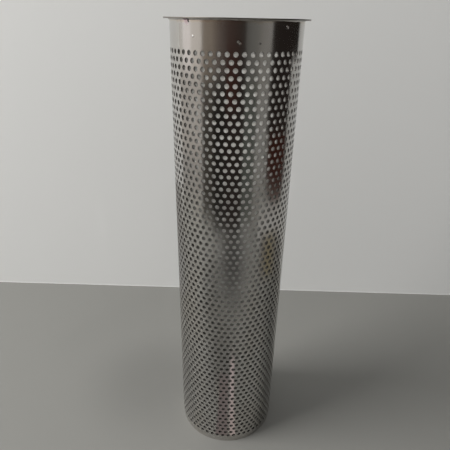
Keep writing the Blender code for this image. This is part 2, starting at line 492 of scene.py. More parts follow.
@dataclass
class SeamWeld:
    """The rippled butt weld along the back of the tube.

    Attributes:
        tube_radius: Outside radius of the tube that it lies on.
        bottom: Height where it starts.
        top: Height where it stops.
        width: Width of the bead.
        crown: How far it stands out.
        ripple: Distance from one ripple to the next.
        ripple_depth: Height of a ripple.
        sunk: How far its edges lie inside the tube's outside.
        root: How far its underside does.
    """

    tube_radius: float
    bottom: float
    top: float
    width: float = 3.6 * MM
    crown: float = 0.36 * MM
    ripple: float = 1.3 * MM
    ripple_depth: float = 0.07 * MM
    sunk: float = 0.12 * MM
    root: float = 0.4 * MM

    def build(self) -> bpy.types.Object:
        """Makes the bead.

        Returns:
            A closed strip, sunk a little into the tube.
        """
        steps_along = int((self.top - self.bottom) / self.ripple * 6)
        share = np.linspace(-1, 1, 11)
        height = np.linspace(self.bottom, self.top, steps_along)
        z, s = np.meshgrid(height, share, indexing="ij")
        wander = 0.25 * MM * np.sin(z * 41.0) + 0.15 * MM * np.sin(z * 97.0 + 1.0)
        ends = np.clip(np.minimum(z - self.bottom, self.top - z) / self.width, 0, 1) ** 0.5
        phase = FULL_TURN * z / self.ripple + 1.9 * s**2
        crown = (1 - s**2) * ends
        rise = crown * (self.crown + self.ripple_depth * (0.5 + 0.5 * np.sin(phase))) - self.sunk
        half = self.width / 2 * (0.92 + 0.08 * np.sin(z * 63.0))
        angle = math.pi + (s * half * ends + wander) / self.tube_radius
        outer = round_tube(angle, self.tube_radius + rise, z)
        inner = round_tube(angle[:, [-1, 0]], self.tube_radius - self.root + 0 * angle[:, :2], z[:, :2])
        piece = self._skin(np.concatenate([outer, inner], axis=1))
        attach(piece, BODY)
        return piece

    def _skin(self, section: Points) -> bpy.types.Object:
        """Skins the bead's sections from end to end.

        Args:
            section: Points by place along the bead, place round its section, and x, y and z.

        Returns:
            The closed bead.
        """
        along, around = section.shape[:2]
        faces = MeshMaker.quads(along, around, False, True)[:, [0, 3, 2, 1]].tolist()
        last = (along - 1) * around
        for k in range(1, around - 1):
            faces.append([0, k + 1, k])
            faces.append([last, last + k, last + k + 1])
        mesh = bpy.data.meshes.new("seam_weld")
        mesh.from_pydata(section.reshape(-1, 3).tolist(), [], faces)
        mesh.validate()
        mesh.shade_smooth()
        piece = bpy.data.objects.new("seam_weld", mesh)
        bpy.context.scene.collection.objects.link(piece)
        return piece


@dataclass
class RimRing:
    """The thin flat ring on the tube's top end, with a lip that isn't quite flat.

    Attributes:
        inner_radius: Radius of its opening.
        outer_radius: Radius of its edge.
        top: Height of its top face.
        tube_top: Height of the tube's end, which it sits on.
        tube_radius: Outside radius of the tube.
        thickness: Thickness of the ring.
        edge: Radius of its rounded outer edges.
        soft: Width of its softened inner edge.
        weld_step: How far inside the tube's outside its underside ends.
        lip_drop: How far the lip hangs at the most.
        lip_waves: Waves of the lip in one turn.
        lip_phase: Angle of a low place on the lip, in degrees.
        steps: Points round the ring.
    """

    inner_radius: float
    outer_radius: float
    top: float
    tube_top: float
    tube_radius: float
    thickness: float = 1.2 * MM
    edge: float = 0.16 * MM
    soft: float = 0.12 * MM
    weld_step: float = 0.2 * MM
    lip_drop: float = 0.2 * MM
    lip_waves: int = 6
    lip_phase: float = 17.0
    steps: int = 360

    def profile(self) -> list[tuple[float, float]]:
        """Draws the ring's section.

        Returns:
            Radius and height of each corner, inner lower corner first, over the top and back.
        """
        under = self.top - self.thickness
        halfway = (self.tube_radius + self.outer_radius) / 2
        turns = [math.pi / 2 * step / 4 for step in range(5)]
        far = [self.edge * (1 - math.sin(turn)) for turn in turns]
        near = [self.edge * (1 - math.cos(turn)) for turn in turns]
        return [
            (self.inner_radius, self.tube_top),
            (self.inner_radius, self.top - self.soft),
            (self.inner_radius + self.soft * 0.3, self.top - self.soft * 0.3),
            (self.inner_radius + self.soft, self.top),
            (self.tube_radius, self.top),
            (halfway, self.top),
            *[(self.outer_radius - inward, self.top - down) for inward, down in zip(far, near)],
            *[(self.outer_radius - inward, under + up) for inward, up in zip(near, far)],
            (halfway, under),
            (self.tube_radius, under),
            (self.tube_radius - self.weld_step, self.tube_top),
        ]

    def drop(self, angle: Points) -> Points:
        """Gives how far the lip's edge hangs.

        Args:
            angle: Angles in radians.

        Returns:
            One drop for each angle.
        """
        turn = angle - math.radians(self.lip_phase)
        share = 0.5 + 0.36 * np.cos(self.lip_waves * turn) + 0.14 * np.cos(2 * turn + 1.3)
        return self.lip_drop * share

    def build(self) -> bpy.types.Object:
        """Makes the ring.

        Returns:
            The closed ring.
        """
        profile = np.array(self.profile())
        angle = np.arange(self.steps) * FULL_TURN / self.steps
        a = angle[:, None] + 0 * profile[None, :, 0]
        r = profile[None, :, 0] + 0 * a
        overhang = np.clip((r - self.tube_radius) / (self.outer_radius - self.tube_radius), 0, 1)
        z = profile[None, :, 1] - self.drop(a) * overhang**1.6
        piece = MeshMaker.ring("flat_rim", round_tube(a, r, z))
        piece.data.set_sharp_from_angle(angle=math.radians(50))
        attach(piece, BODY)
        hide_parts("rim_ring")
        return piece


@dataclass
class RoundWeld:
    """A rippled fillet weld that runs round the basket.

    Attributes:
        name: The piece's name.
        corner_radius: Radius of the corner that it fills.
        corner_height: Height of that corner.
        leg: Length of each leg.
        outward: +1 if it lies outside the corner's radius, -1 if inside.
        upward: +1 if it lies above the corner's height, -1 if below.
        slot: The material slot; not used.
        ripple: Distance from one ripple to the next.
        ripple_depth: Half the height of a ripple.
        hollow: How far its face is drawn in, from 0 for none to 1.
        sunk: How far it lies inside both pieces.
    """

    name: str
    corner_radius: float
    corner_height: float
    leg: float
    outward: int
    upward: int
    slot: Slot
    ripple: float = 1.5 * MM
    ripple_depth: float = 0.035 * MM
    hollow: float = 0.35
    sunk: float = 0.15 * MM

    def build(self) -> bpy.types.Object:
        """Makes the weld.

        Returns:
            A closed ring, sunk a little into both pieces that it joins.
        """
        turns = int(FULL_TURN * self.corner_radius / self.ripple)
        count = 5 * turns
        angle = np.arange(count) * FULL_TURN / count
        a, s = np.meshgrid(angle, np.linspace(0, 1, 8), indexing="ij")
        ripples = self.ripple_depth * np.sin(turns * a + 12.0 * (s - 0.5) ** 2)
        uneven = 0.10 * np.sin(7 * a + 0.6) + 0.06 * np.sin(17 * a) + 0.05 * np.sin(41 * a + 2)
        size = self.leg * (1 + uneven)
        turn = s * math.pi / 2
        full = 1 - self.hollow
        reach = size * (np.cos(turn) * full + self.hollow * (1 - np.sin(turn))) + ripples - self.sunk
        climb = size * (np.sin(turn) * full + self.hollow * (1 - np.cos(turn))) + ripples - self.sunk
        r = self.corner_radius + self.outward * reach
        z = self.corner_height + self.upward * climb
        root_r = self.corner_radius - self.outward * self.sunk + 0 * a[:, :1]
        root_z = self.corner_height - self.upward * self.sunk + 0 * a[:, :1]
        r = np.concatenate([r, root_r], axis=1)
        z = np.concatenate([z, root_z], axis=1)
        a = np.concatenate([a, a[:, :1]], axis=1)
        if self.outward * self.upward < 0:
            r, z, a = r[:, ::-1], z[:, ::-1], a[:, ::-1]
        piece = MeshMaker.ring(self.name, round_tube(a, r, z)[:, ::-1])
        piece.data.set_sharp_from_angle(angle=math.radians(60))
        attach(piece, BODY)
        return piece


@dataclass
class BaseDisc:
    """The punched disc in the tube's lower end.

    Attributes:
        radius: Radius of its edge.
        thickness: Thickness of the sheet.
        hole_diameter: Diameter of the holes.
        pitch: Distance from one hole to the next.
        plain_edge: Plain steel round the holes.
        hole_sides: Sides that each hole is drawn with.
        dish: How far its middle lies below its edge.
        edge_steps: Points round its edge.
    """

    radius: float
    thickness: float
    hole_diameter: float = 5.0 * MM
    pitch: float = 8.0 * MM
    plain_edge: float = 4.5 * MM
    hole_sides: int = 12
    dish: float = 0.25 * MM
    edge_steps: int = 180

    def hole_centres(self) -> Points:
        """Lays out the staggered holes about the disc's centre.

        Returns:
            One row of x and y for each hole.
        """
        reach = self.radius - self.plain_edge - self.hole_diameter / 2
        row_pitch = self.pitch * math.sin(math.radians(60))
        span = math.ceil(reach / row_pitch)
        centres = []
        for row in range(-span, span + 1):
            for place in range(-span, span + 1):
                x = (place + (row % 2) / 2) * self.pitch
                if math.hypot(x, row * row_pitch) <= reach:
                    centres.append((x, row * row_pitch))
        return np.array(centres)

    def place(self, flat: Points, depth: float) -> Points:
        """Lays flat points level.

        Args:
            flat: The points' x and y.
            depth: 0 for the top skin, 1 for the underside.

        Returns:
            One row of x, y and z for each point.
        """
        share = np.hypot(flat[:, 0], flat[:, 1]) / self.radius
        top = self.thickness - self.dish * (1 - share**2)
        return np.stack([flat[:, 0], flat[:, 1], top * (1 - depth)], axis=-1)

    def build(self) -> bpy.types.Object:
        """Makes the disc.

        Returns:
            The closed, punched disc.
        """
        angle = np.arange(self.edge_steps) * FULL_TURN / self.edge_steps
        edge = self.radius * np.stack([np.cos(angle), np.sin(angle)], axis=-1)
        edge_lines = [(k, (k + 1) % self.edge_steps) for k in range(self.edge_steps)]
        sheet = FlatSheet(self.hole_diameter / 2, self.hole_sides)
        sheet.cut(edge, edge_lines, self.hole_centres())
        piece = sheet.thicken("punched_base", self.place, edge_glint=0.5)
        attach(piece, BODY)
        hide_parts("base_disc")
        return piece


@dataclass
class MeshLining:
    """The fine woven mesh inside the tube and on its base.

    Attributes:
        radius: Radius that the mesh is rolled to.
        bottom: Height of the sleeve's lower end.
        top: Height of its upper end.
        floor: Height of the round of mesh on the base.
        lap: How far the sleeve laps over itself at the back.
        steps: Points round the sleeve.
    """

    radius: float
    bottom: float
    top: float
    floor: float
    lap: float = 8.0 * MM
    steps: int = 216

    def sleeve(self) -> bpy.types.Object:
        """Makes the mesh that lines the tube.

        Returns:
            One thin sheet, lapped at the back, with a faint wave along its cut end.
        """
        lap = self.lap / self.radius
        angle = np.linspace(math.pi - FULL_TURN - lap / 2, math.pi + lap / 2, self.steps + 4)
        height = np.union1d(np.linspace(self.bottom, self.top, 40), self.bottom + 3 * MM)
        a, z = np.meshgrid(angle, height, indexing="ij")
        inward = 0.25 * MM * (a - a.min()) / (a.max() - a.min())
        loose = 0.05 * MM * np.cos(5 * a + 20 * z) + 0.03 * MM * np.cos(13 * a - 31 * z)
        end = np.clip((z - self.top + 12 * MM) / (12 * MM), 0, 1) ** 2
        radius = self.radius - inward - loose - 0.08 * MM * end * (1 + np.cos(9 * a))
        points = round_tube(a, radius, z)
        faces = MeshMaker.quads(*points.shape[:2], False, False)
        piece = MeshMaker.build("mesh_lining", points.reshape(-1, 3), faces)
        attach(piece, BODY)
        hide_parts("mesh_sleeve")
        return piece

    def round_floor(self) -> bpy.types.Object:
        """Makes the round of mesh on the base.

        Returns:
            One thin, slightly uneven sheet.
        """
        rings, steps = 24, 144
        angle = np.arange(steps) * FULL_TURN / steps
        r, a = np.meshgrid(np.linspace(0.004, 1, rings) * self.radius, angle, indexing="ij")
        z = self.floor + 0.10 * MM * np.cos(a * 3 + r * 60) * (r / self.radius)
        points = round_tube(a, r, z)
        faces = MeshMaker.quads(rings, steps, False, True)
        piece = MeshMaker.build("mesh_round", points.reshape(-1, 3), faces)
        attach(piece, BODY)
        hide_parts("mesh_floor")
        return piece


class NodeBench:
    """Short ways to wire a material's nodes."""

    def __init__(self, name: str) -> None:
        """Starts an empty material.

        Args:
            name: The material's name.
        """
        self.material = bpy.data.materials.new(name)
        self.material.use_nodes = True
        self.tree = self.material.node_tree
        self.shader = self.tree.nodes["Principled BSDF"]

    def add(
        self, kind: str, inputs: dict[str | int, object] | None = None, **settings: object
    ) -> bpy.types.Node:
        """Adds a node.

        Args:
            kind: The node's type.
            inputs: Sockets or values for its inputs.
            settings: Its own settings.

        Returns:
            The node.
        """
        node = self.tree.nodes.new(kind)
        for key, value in settings.items():
            setattr(node, key, value)
        for key, value in (inputs or {}).items():
            self.feed(node.inputs[key], value)
        return node

    def feed(self, socket: bpy.types.NodeSocket, value: object) -> None:
        """Links a socket to an input, or sets its value.

        Args:
            socket: The input.
            value: The socket to link, or a plain value.
        """
        if isinstance(value, bpy.types.NodeSocket):
            self.tree.links.new(value, socket)
        else:
            socket.default_value = value

    def sums(
        self, operation: str, first: object, second: object = 0.0, clamp: bool = False
    ) -> bpy.types.NodeSocket:
        """Adds a sum of two numbers and returns its result."""
        node = self.add("ShaderNodeMath", {0: first, 1: second}, operation=operation, use_clamp=clamp)
        return node.outputs["Value"]

    def vectors(self, operation: str, first: object, second: object = (0.0, 0.0, 0.0)) -> bpy.types.Node:
        """Adds a sum of two vectors, whose result is a vector or a number."""
        return self.add("ShaderNodeVectorMath", {0: first, 1: second}, operation=operation)

    def scaled(self, vector: object, share: object) -> bpy.types.NodeSocket:
        """Scales a vector by a number.

        Args:
            vector: The vector.
            share: The number.

        Returns:
            The scaled vector.
        """
        node = self.vectors("SCALE", vector)
        self.feed(node.inputs["Scale"], share)
        return node.outputs["Vector"]

    def spread(
        self, value: object, low: float, high: float, to_low: float, to_high: float
    ) -> bpy.types.NodeSocket:
        """Maps a number smoothly from one range to another.

        Args:
            value: The number.
            low: Lower end of its range.
            high: Upper end of its range.
            to_low: What the lower end becomes.
            to_high: What the upper end becomes.

        Returns:
            The new number.
        """
        node = self.add(
            "ShaderNodeMapRange",
            {"Value": value, "From Min": low, "From Max": high, "To Min": to_low, "To Max": to_high},
            interpolation_type="SMOOTHSTEP",
        )
        return node.outputs["Result"]

    def blend(self, share: object, first: object, second: object) -> bpy.types.NodeSocket:
        """Mixes two colours.

        Args:
            share: Share of the second colour.
            first: The first colour.
            second: The second colour.

        Returns:
            The mixed colour.
        """
        node = self.add("ShaderNodeMix", data_type="RGBA")
        self.feed(node.inputs["Factor"], share)
        self.feed(node.inputs["A"], (*first, 1.0) if isinstance(first, tuple) else first)
        self.feed(node.inputs["B"], (*second, 1.0) if isinstance(second, tuple) else second)
        return node.outputs["Result"]

    def noise(
        self, vector: object, scale: float, detail: float = 2.0, roughness: float = 0.5
    ) -> bpy.types.NodeSocket:
        """Adds noise.

        Args:
            vector: The coordinates that it follows.
            scale: How fine it is.
            detail: How many finer layers it has.
            roughness: How strong those layers are.

        Returns:
            A number round 0.5.
        """
        inputs = {"Vector": vector, "Scale": scale, "Detail": detail, "Roughness": roughness}
        return self.add("ShaderNodeTexNoise", inputs).outputs["Fac"]

    def bump(
        self, height: object, strength: float, distance: float, normal: bpy.types.NodeSocket | None = None
    ) -> bpy.types.NodeSocket:
        """Adds a bump.

        Args:
            height: The height that it follows.
            strength: How strong it is, from 0 to 1.
            distance: The height that a full step stands for.
            normal: The normal that it starts from, or None for the surface's own.

        Returns:
            The bumped normal.
        """
        node = self.add("ShaderNodeBump", {"Strength": strength, "Distance": distance, "Height": height})
        if normal is not None:
            self.feed(node.inputs["Normal"], normal)
        return node.outputs["Normal"]

    def layer(self, share: object, under: object, over: object) -> bpy.types.NodeSocket:
        """Mixes two shaders and returns the result."""
        return self.add("ShaderNodeMixShader", {0: share, 1: under, 2: over}).outputs[0]

    def surface(self, shader: bpy.types.NodeSocket) -> None:
        """Makes a shader the material's surface."""
        output = next(node for node in self.tree.nodes if node.type == "OUTPUT_MATERIAL")
        self.feed(output.inputs["Surface"], shader)


@dataclass(frozen=True)
class Tint:
    """Heat colours left beside a weld.

    Attributes:
        reach: How far from the weld they fade out.
        straw: Colour furthest out.
        brown: Colour nearer in.
        blue: Colour next to the weld.
        strength: How strong they are, from 0 to 1.
    """

    reach: float
    straw: Colour = (0.62, 0.50, 0.33)
    brown: Colour = (0.40, 0.27, 0.22)
    blue: Colour = (0.30, 0.33, 0.42)
    strength: float = 0.6


@dataclass(frozen=True)
class Spot:
    """A small mark at one place on the steel, or a painted highlight.

    Attributes:
        angle: Angle from the front, in degrees.
        height: Height above the floor.
        radius: Half its width.
        colour: Colour of the mark.
        strength: How strong it is, from 0 to 1.
    """

    angle: float
    height: float
    radius: float
    colour: Colour
    strength: float

    def lay(
        self, bench: NodeBench, tube_radius: float, colour: object, rough: object
    ) -> tuple[object, object]:
        """Lays the mark over a colour and a roughness.

        Args:
            bench: The material's bench.
            tube_radius: Radius of the surface that it lies on.
            colour: The colour so far.
            rough: The roughness so far.

        Returns:
            The new colour and roughness.
        """
        place = bench.add("ShaderNodeTexCoord").outputs["Object"]
        angle = math.radians(self.angle)
        centre = (tube_radius * math.sin(angle), -tube_radius * math.cos(angle), self.height)
        away = bench.vectors("DISTANCE", place, centre).outputs["Value"]
        ragged = bench.spread(bench.noise(place, 900.0), 0.3, 0.7, -0.4, 0.4)
        away = bench.sums("ADD", away, bench.sums("MULTIPLY", ragged, self.radius))
        mask = bench.spread(away, self.radius * 0.5, self.radius, self.strength, 0.0)
        rough = bench.sums("ADD", rough, bench.sums("MULTIPLY", mask, 0.25))
        return bench.blend(mask, colour, self.colour), rough


@dataclass(frozen=True)
class SteelFinish:
    """Bright rolled stainless sheet.

    Attributes:
        name: The material's name.
        colour: Colour of its reflections.
        warm: Colour where it is a little stained.
        roughness: Roughness where it is cleanest.
        haze: Roughness added where it is handled and dull.
        grain: Strength of the fine rolling lines.
        tube_radius: Radius of the tube, for marks that are placed by their angle.
        rim_tint: Heat colours under the rim, or None.
        rim_height: Height of the rim's weld.
        seam_tint: Heat colours beside the seam, or None.
        spots: Small marks, or painted highlights.
        cut_radius: Radius outside which it is a dull sheared edge, or 0 for none.
        cut_colour: Colour of the sheared edge.
    """

    name: str
    colour: Colour = (0.60, 0.59, 0.575)
    warm: Colour = (0.56, 0.53, 0.49)
    roughness: float = 0.12
    haze: float = 0.09
    grain: float = 0.05
    tube_radius: float = 0.0695
    rim_tint: Tint | None = None
    rim_height: float = 0.0
    seam_tint: Tint | None = None
    spots: tuple[Spot, ...] = ()
    cut_radius: float = 0.0
    cut_colour: Colour = (0.27, 0.255, 0.235)

    def build(self) -> bpy.types.Material:
        """Makes the material.

        Returns:
            A metal whose stains, haze and grain follow the part's own coordinates.
        """
        bench = NodeBench(self.name)
        place = bench.add("ShaderNodeTexCoord").outputs["Object"]
        axes = bench.add("ShaderNodeSeparateXYZ", {0: place}).outputs
        streaks = bench.add("ShaderNodeMapping", {"Vector": place, "Scale": (1.0, 1.0, 0.10)}).outputs[0]
        stains = bench.noise(place, 9.0, 4.0, 0.6)
        smears = bench.noise(streaks, 60.0, 4.0, 0.6)
        dull = bench.sums("MULTIPLY", bench.spread(stains, 0.38, 0.68, 0.0, 1.0), 0.6)
        dull = bench.sums("ADD", dull, bench.spread(smears, 0.40, 0.75, 0.0, 0.4), clamp=True)
        colour = bench.blend(dull, self.colour, self.warm)
        rough = bench.sums("ADD", bench.sums("MULTIPLY", dull, self.haze), self.roughness)
        if self.rim_tint:
            away = bench.sums("SUBTRACT", self.rim_height, axes["Z"])
            colour = self._heat(bench, colour, bench.sums("ABSOLUTE", away), self.rim_tint, place)
        if self.seam_tint:
            aside = bench.sums("ABSOLUTE", axes["X"])
            in_front = bench.sums("SUBTRACT", 1.0, bench.sums("GREATER_THAN", axes["Y"], 0.0))
            colour = self._heat(bench, colour, bench.sums("ADD", aside, in_front), self.seam_tint, place)
        for spot in self.spots:
            colour, rough = spot.lay(bench, self.tube_radius, colour, rough)
        if self.cut_radius:
            level = bench.vectors("MULTIPLY", place, (1.0, 1.0, 0.0)).outputs["Vector"]
            out = bench.vectors("LENGTH", level).outputs["Value"]
            cut = bench.spread(out, self.cut_radius - 0.1 * MM, self.cut_radius, 0.0, 1.0)
            colour = bench.blend(cut, colour, self.cut_colour)
            rough = bench.sums("ADD", rough, bench.sums("MULTIPLY", cut, 0.22))
        bench.feed(bench.shader.inputs["Base Color"], colour)
        bench.feed(bench.shader.inputs["Roughness"], rough)
        bench.shader.inputs["Metallic"].default_value = 1.0
        bench.feed(bench.shader.inputs["Normal"], self._grain(bench, place, streaks))
        return bench.material

    def _heat(self, bench: NodeBench, colour: object, away: object, tint: Tint, place: object) -> object:
        """Lays heat colours over a colour.

        Args:
            bench: The material's bench.
            colour: The colour so far.
            away: Distance from the weld.
            tint: The heat colours.
            place: The surface's coordinates.

        Returns:
            The new colour.
        """
        uneven = bench.noise(place, 140.0, 3.0)
        share = bench.sums("DIVIDE", away, tint.reach)
        share = bench.sums("ADD", share, bench.spread(uneven, 0.3, 0.7, -0.25, 0.25))
        bands = ((tint.straw, 1.0, 0.6), (tint.brown, 0.6, 0.35), (tint.blue, 0.35, 0.12))
        for shade, outer, inner in bands:
            mask = bench.spread(share, inner, outer, tint.strength, 0.0)
            colour = bench.blend(mask, colour, shade)
        return colour

    def _grain(self, bench: NodeBench, place: object, streaks: object) -> bpy.types.NodeSocket:
        """Adds the rolling lines and the sheet's faint unevenness.

        Args:
            bench: The material's bench.
            place: The surface's coordinates.
            streaks: Coordinates drawn out along the tube.

        Returns:
            The surface's normal.
        """
        lines = bench.noise(streaks, 900.0, 3.0, 0.6)
        uneven = bench.noise(place, 70.0, 2.0, 0.5)
        fine = bench.bump(lines, self.grain, 0.05 * MM)
        return bench.bump(uneven, 0.12, 0.4 * MM, fine)


@dataclass(frozen=True)
class WeldFinish:
    """A weld bead, rougher and more coloured than the sheet.

    Attributes:
        name: The material's name.
        colour: Colour of its reflections.
        oxide: Colour of the oxide in its ripples.
        roughness: Roughness of the bead.
        tube_radius: Radius that its marks are placed on.
        spots: Small marks.
    """

    name: str
    colour: Colour = (0.50, 0.48, 0.455)
    oxide: Colour = (0.24, 0.20, 0.18)
    roughness: float = 0.28
    tube_radius: float = 0.0705
    spots: tuple[Spot, ...] = ()

    def build(self) -> bpy.types.Material:
        """Makes the material.

        Returns:
            A metal with patches of oxide and fine pits.
        """
        bench = NodeBench(self.name)
        place = bench.add("ShaderNodeTexCoord").outputs["Object"]
        patches = bench.spread(bench.noise(place, 260.0, 4.0, 0.65), 0.45, 0.75, 0.0, 0.8)
        colour = bench.blend(patches, self.colour, self.oxide)
        rough = bench.sums("ADD", bench.sums("MULTIPLY", patches, 0.2), self.roughness)
        for spot in self.spots:
            colour, rough = spot.lay(bench, self.tube_radius, colour, rough)
        bench.feed(bench.shader.inputs["Base Color"], colour)
        bench.feed(bench.shader.inputs["Roughness"], rough)
        bench.shader.inputs["Metallic"].default_value = 1.0
        pits = bench.noise(place, 1500.0, 3.0, 0.6)
        bench.feed(bench.shader.inputs["Normal"], bench.bump(pits, 0.25, 0.1 * MM))
        return bench.material


@dataclass(frozen=True)
class WovenWire:
    """Fine plain-woven steel mesh, open between its wires.

    Attributes:
        name: The material's name.
        radius: Radius that the mesh is rolled to, or 0 if it lies flat.
        pitch: Distance from one wire to the next.
        wire: Thickness of a wire.
        colour: Colour of the wire's reflections.
        lit_colour: Colour of the light that passes round the wires.
        roughness: Roughness of the wire.
        tilt: How far a wire's sides turn from the mesh's face, from 0 to 1.
        glow: Share of its light that its wires scatter and don't mirror.
        back_share: Share of the scattered light that comes from its back.
    """

    name: str
    radius: float
    pitch: float = 0.635 * MM
    wire: float = 0.25 * MM
    colour: Colour = (0.25, 0.24, 0.23)
    lit_colour: Colour = (0.64, 0.63, 0.60)
    roughness: float = 0.35
    tilt: float = 0.85
    glow: float = 0.4
    back_share: float = 0.5

    def build(self) -> bpy.types.Material:
        """Makes the material.

        Returns:
            A metal with round wires both ways and clear openings.
        """
        bench = NodeBench(self.name)
        place = bench.add("ShaderNodeTexCoord").outputs["Object"]
        axes = bench.add("ShaderNodeSeparateXYZ", {0: place}).outputs
        if self.radius:
            back = bench.sums("MULTIPLY", axes["Y"], -1.0)
            across = bench.sums("MULTIPLY", bench.sums("ARCTAN2", axes["X"], back), self.radius)
            along = axes["Z"]
        else:
            across, along = axes["X"], axes["Y"]
        normal = bench.add("ShaderNodeNewGeometry").outputs["Normal"]
        up = (0.0, 0.0, 1.0) if self.radius else (0.0, 1.0, 0.0)
        aside = bench.vectors("CROSS_PRODUCT", up, normal).outputs["Vector"]
        lift = bench.vectors("CROSS_PRODUCT", normal, aside).outputs["Vector"]
        warp_side, warp = self._wire(bench, across)
        weft_side, weft = self._wire(bench, along)
        solid = bench.sums("MAXIMUM", warp, weft)
        over = self._crossing(bench, across, along)
        covered = bench.sums("MULTIPLY", weft, over)
        warp_only = bench.sums("MULTIPLY", warp, bench.sums("SUBTRACT", 1.0, covered))
        weft_only = bench.sums("SUBTRACT", solid, warp_only)
        sideways = bench.sums("MULTIPLY", bench.sums("MULTIPLY", warp_side, self.tilt), warp_only)
        upward = bench.sums("MULTIPLY", bench.sums("MULTIPLY", weft_side, self.tilt), weft_only)
        turned = bench.vectors("ADD", normal, bench.scaled(aside, sideways)).outputs["Vector"]
        turned = bench.vectors("ADD", turned, bench.scaled(lift, upward)).outputs["Vector"]
        turned = bench.vectors("NORMALIZE", turned).outputs["Vector"]
        bench.feed(bench.shader.inputs["Base Color"], (*self.colour, 1.0))
        bench.shader.inputs["Roughness"].default_value = self.roughness
        bench.shader.inputs["Metallic"].default_value = 1.0
        bench.feed(bench.shader.inputs["Normal"], turned)
        behind = bench.add("ShaderNodeBsdfTranslucent", {"Color": (*self.lit_colour, 1.0)}).outputs[0]
        front = bench.add("ShaderNodeBsdfDiffuse", {"Color": (*self.lit_colour, 1.0)}).outputs[0]
        glow = bench.layer(self.back_share, front, behind)
        wires = bench.layer(self.glow, bench.shader.outputs[0], glow)
        clear = bench.add("ShaderNodeBsdfTransparent").outputs[0]
        bench.surface(bench.layer(solid, clear, wires))
        return bench.material

    def _wire(self, bench: NodeBench, place: object) -> tuple[object, object]:
        """Draws one set of parallel wires.

        Args:
            bench: The material's bench.
            place: Distance across the wires.

        Returns:
            The place on the nearest wire, from -1 to 1 across it, and 1 on a wire or 0 beside it.
        """
        share = bench.sums("FRACT", bench.sums("DIVIDE", place, self.pitch))
        side = bench.sums("MULTIPLY", bench.sums("SUBTRACT", share, 0.5), 2 * self.pitch / self.wire)
        on_wire = bench.sums("LESS_THAN", bench.sums("ABSOLUTE", side), 1.0)
        return side, on_wire

    def _crossing(self, bench: NodeBench, across: object, along: object) -> object:
        """Says which wire is on top where two cross.

        Args:
            bench: The material's bench.
            across: Distance across the mesh.
            along: Distance along the mesh.

        Returns:
            1 and 0 in turn from one crossing to the next.
        """
        columns = bench.sums("FLOOR", bench.sums("DIVIDE", across, self.pitch))
        rows = bench.sums("FLOOR", bench.sums("DIVIDE", along, self.pitch))
        odd = bench.sums("FRACT", bench.sums("MULTIPLY", bench.sums("ADD", columns, rows), 0.5))
        return bench.sums("GREATER_THAN", odd, 0.25)


@dataclass(frozen=True)
class Card:
    """A studio card, lit from within, that only shows in reflections.

    Attributes:
        name: The card's name.
        start: Angle of its left edge from the front, in degrees towards the right.
        end: Angle of its right edge.
        low: Distance from the basket's axis and height of its lower edge.
        high: Distance and height of its upper edge.
        light: The light that it gives off.
        fade: Its light at its right edge, or None if it is the same all over.
    """

    name: str
    start: float
    end: float
    low: tuple[float, float]
    high: tuple[float, float]
    light: Colour
    fade: Colour | None = None

    def build(self) -> bpy.types.Object:
        """Makes the card as a strip that bends round the basket.

        Returns:
            The card, seen only in reflections.
        """
        columns = max(2, int(abs(self.end - self.start) / 4) + 1)
        right_light = self.fade or self.light
        corners, faces, lights = [], [], []
        for k, angle in enumerate(np.radians(np.linspace(self.start, self.end, columns))):
            share = k / (columns - 1)
            light = [(1 - share) * a + share * b for a, b in zip(self.light, right_light)]
            for distance, height in (self.low, self.high):
                corners.append((distance * math.sin(angle), -distance * math.cos(angle), height))
                lights += [*light, 1.0]
            if k:
                faces.append((2 * k - 2, 2 * k, 2 * k + 1, 2 * k - 1))
        mesh = bpy.data.meshes.new(self.name)
        mesh.from_pydata(corners, [], faces)
        mesh.color_attributes.new("light", "FLOAT_COLOR", "POINT").data.foreach_set("color", lights)
        card = bpy.data.objects.new(self.name, mesh)
        bpy.context.scene.collection.objects.link(card)
        bench = NodeBench(self.name)
        bench.shader.inputs["Base Color"].default_value = (0.0, 0.0, 0.0, 1.0)
        bench.shader.inputs["Specular IOR Level"].default_value = 0.0
        painted = bench.add("ShaderNodeVertexColor", layer_name="light")
        bench.feed(bench.shader.inputs["Emission Color"], painted.outputs["Color"])
        bench.shader.inputs["Emission Strength"].default_value = 1.0
        mesh.materials.append(bench.material)
        card.visible_camera = False
        card.visible_diffuse = False
        card.visible_transmission = False
        card.visible_shadow = False
        return card


@dataclass(frozen=True)
class PaintedFloorShadow:
    """A soft shadow painted into the studio floor's colour.

    Attributes:
        centre: Its centre's x and y.
        reach: How far it spreads along x and y.
        strength: How dark it is at its centre, from 0 to 1.
    """

    centre: tuple[float, float]
    reach: tuple[float, float]
    strength: float

    def lay(self, bench: NodeBench, colour: object) -> object:
        """Lays the painted shadow over the floor's colour.

        Args:
            bench: The floor material's bench.
            colour: The colour so far.

        Returns:
            The new colour.
        """
        place = bench.add("ShaderNodeTexCoord").outputs["Object"]
        shift = tuple(-c / r for c, r in zip(self.centre, self.reach))
        scale = tuple(1 / r for r in self.reach)
        local = bench.add(
            "ShaderNodeMapping", {"Vector": place, "Location": (*shift, 0.0), "Scale": (*scale, 0.0)}
        ).outputs[0]
        away = bench.vectors("LENGTH", local).outputs["Value"]
        return bench.blend(bench.spread(away, 0.15, 1.0, self.strength, 0.0), colour, (0.0, 0.0, 0.0))


def hang_light(data: bpy.types.Light, place: Place, target: Place) -> bpy.types.Object:
    """Hangs a light and turns it to its target.

    Args:
        data: The light's own settings.
        place: Where it stands.
        target: What it points at.

    Returns:
        The light, which the camera doesn't see.
    """
    light = bpy.data.objects.new(data.name, data)
    light.location = place
    light.rotation_euler = (Vector(target) - Vector(place)).to_track_quat("-Z", "Y").to_euler()
    light.visible_camera = False
    bpy.context.scene.collection.objects.link(light)
    return light


